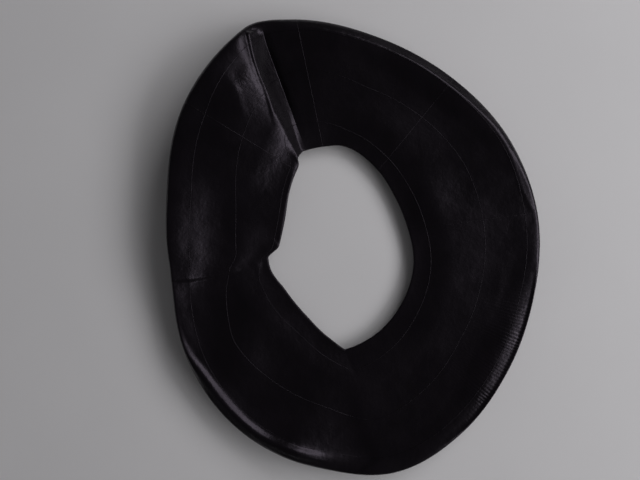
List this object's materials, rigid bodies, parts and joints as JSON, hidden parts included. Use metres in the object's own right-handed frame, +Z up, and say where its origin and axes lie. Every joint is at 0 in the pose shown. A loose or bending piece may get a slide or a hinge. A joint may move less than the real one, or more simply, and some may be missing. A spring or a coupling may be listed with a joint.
{
  "type": "inner tube",
  "caption": "Slack rubber inner tube for a small wheel, lying flat as a wide band round an open middle, with a rubber-covered car-type valve folded underneath.",
  "frame": {"origin": "middle of the whole tube's plan, on the surface that it lies on", "axes": "+Z up, out of the surface the tube lies on; +Y along its longest side; +X along its width"},
  "size_m": [0.3316, 0.4067, 0.038],
  "materials": {
    "butyl_rubber": "smooth black butyl with a soft sheen",
    "stem_rubber": "moulded black rubber",
    "brass": "turned",
    "gasket": "smooth red fluoropolymer",
    "spring_steel": "drawn wire",
    "seal_rubber": "moulded",
    "cap_plastic": "moulded, fine grain"
  },
  "bodies": {
    "root": {"tube_body": "butyl_rubber", "stem_rubber": "stem_rubber", "stem_insert": "brass", "core_plug": "brass", "core_barrel": "brass", "core_gasket": "gasket", "core_spring": "spring_steel"},
    "pin": {"core_pin": "brass", "core_cup": "brass", "core_seal": "seal_rubber"},
    "cap_lift": {"cap_seal": "seal_rubber"},
    "cap": {"cap_shell": "cap_plastic"}
  },
  "joints": [
    {"name": "pin_press", "type": "slide", "parent": "root", "child": "pin", "axis": [0.8614, -0.5079, 0], "range_m": [0, 0.0013], "stiffness_N_per_m": 900, "springref_m": -0.003, "deforming": ["core_spring"]},
    {"name": "cap_lift", "type": "slide", "parent": "root", "child": "cap_lift", "axis": [-0.8614, 0.5079, 0], "range_m": [0, 0.00794]},
    {"name": "cap_turn", "type": "hinge", "parent": "cap_lift", "child": "cap", "pos_m": [-0.11302, 0.10391, 0.00612], "axis": [-0.8614, 0.5079, 0], "continuous": true}
  ],
  "couplings": [
    {"joint": "cap_turn", "follows": "cap_lift", "rad_per_m": 7913.3}
  ]
}
